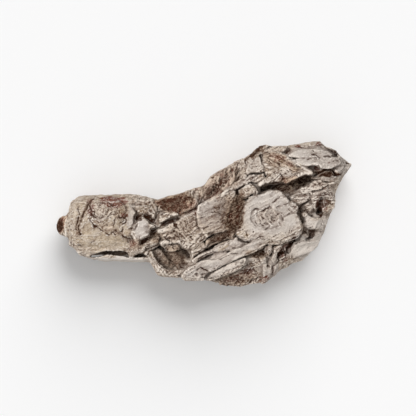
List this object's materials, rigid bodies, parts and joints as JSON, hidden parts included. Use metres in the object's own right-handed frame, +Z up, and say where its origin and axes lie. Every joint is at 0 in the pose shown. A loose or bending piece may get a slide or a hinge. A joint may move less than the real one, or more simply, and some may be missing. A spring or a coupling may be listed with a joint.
{
  "type": "iron meteorite",
  "caption": "Club-shaped lump of laminated, weathered meteoritic iron: a thick barrel with a nub, a broken neck and a wide head of plates, ledges and open cracks.",
  "frame": {"origin": "middle of the box's bottom face, on the surface that the lump rests on", "axes": "+Z up; +X along the lump, from the nub on the barrel to the tip of the head; +Y towards the side with the shorter flank of the neck"},
  "size_m": [0.118, 0.0584, 0.0253],
  "materials": {
    "weathered_iron": "matte, pale grey-beige plates with dark brown cracks and rusty and ochre stains"
  },
  "bodies": {
    "root": {"meteorite": "weathered_iron"}
  },
  "joints": []
}
